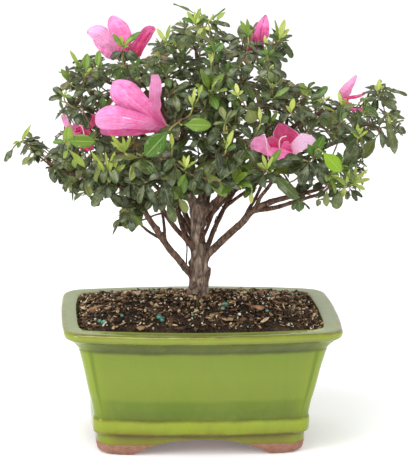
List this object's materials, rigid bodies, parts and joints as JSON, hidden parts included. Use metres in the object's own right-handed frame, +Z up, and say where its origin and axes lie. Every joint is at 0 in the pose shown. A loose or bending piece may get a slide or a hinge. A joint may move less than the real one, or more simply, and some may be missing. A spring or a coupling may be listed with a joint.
{
  "type": "satsuki azalea bonsai",
  "caption": "Flowering evergreen azalea trained as an upright bonsai, planted in a rectangular glazed pot on short feet.",
  "frame": {"origin": "centre of the object's footprint box, in the plane that the pot's four feet stand on", "axes": "+Z up along the trunk, +X along the pot's long side, -Y towards the front of the plant"},
  "size_m": [0.2854, 0.1822, 0.3221],
  "materials": {
    "glaze": "glossy green glaze over red-brown stoneware, thin and brown on the crests",
    "mesh": "matt dark plastic mesh",
    "soil": "damp dark granular bonsai mix with bark, grit and perlite",
    "bark_chip": "rough tan bark chip",
    "pellet": "teal coated fertiliser bead",
    "bark": "rough grey-brown bark, redder on young limbs",
    "petal": "thin satin petal, pink with a deeper throat",
    "calyx": "hairy green calyx and stalk",
    "stamen": "pale pink filaments with dark anthers",
    "leaf": "glossy dark green leaf, pale beneath, lime on new shoots"
  },
  "bodies": {
    "root": {"pot": "glaze", "drain_mesh_left": "mesh", "drain_mesh_right": "mesh", "soil": "soil", "bark_chip_left": "bark_chip", "bark_chip_right": "bark_chip", "bark_chip_back": "bark_chip", "fertiliser_pellet_left": "pellet", "fertiliser_pellet_middle": "pellet", "fertiliser_pellet_right": "pellet", "trunk_and_branches": "bark", "flower_top_left_corolla": "petal", "flower_top_left_calyx": "calyx", "flower_top_left_stamens": "stamen", "flower_front_left_corolla": "petal", "flower_front_left_calyx": "calyx", "flower_front_left_stamens": "stamen", "flower_right_corolla": "petal", "flower_right_calyx": "calyx", "flower_right_stamens": "stamen", "flower_top_bud_corolla": "petal", "flower_top_bud_calyx": "calyx", "flower_far_right_corolla": "petal", "flower_far_right_calyx": "calyx", "flower_far_right_stamens": "stamen", "flower_left_side_corolla": "petal", "flower_left_side_calyx": "calyx", "flower_left_side_stamens": "stamen", "foliage_far_left": "leaf", "foliage_left_tip": "leaf", "foliage_left_low": "leaf", "foliage_left_front": "leaf", "foliage_left_inner_low": "leaf", "foliage_left_outer_high": "leaf", "foliage_left_high": "leaf", "foliage_left_middle": "leaf", "foliage_inner_front_left": "leaf", "foliage_top_left": "leaf", "foliage_upper_left": "leaf", "foliage_centre_front": "leaf", "foliage_centre_front_high": "leaf", "foliage_crown": "leaf", "foliage_crown_right": "leaf", "foliage_top_right": "leaf", "foliage_top_right_outer": "leaf", "foliage_right_front_high": "leaf", "foliage_right_front": "leaf", "foliage_inner_front_right": "leaf", "foliage_right_high": "leaf", "foliage_far_right_high": "leaf", "foliage_far_right": "leaf", "foliage_right_low_inner": "leaf", "foliage_right_low_middle": "leaf", "foliage_right_low_tip": "leaf", "foliage_right_middle": "leaf", "foliage_back_centre": "leaf", "foliage_back_high": "leaf", "foliage_back_right": "leaf", "foliage_back_left": "leaf", "foliage_back_left_high": "leaf"}
  },
  "joints": []
}
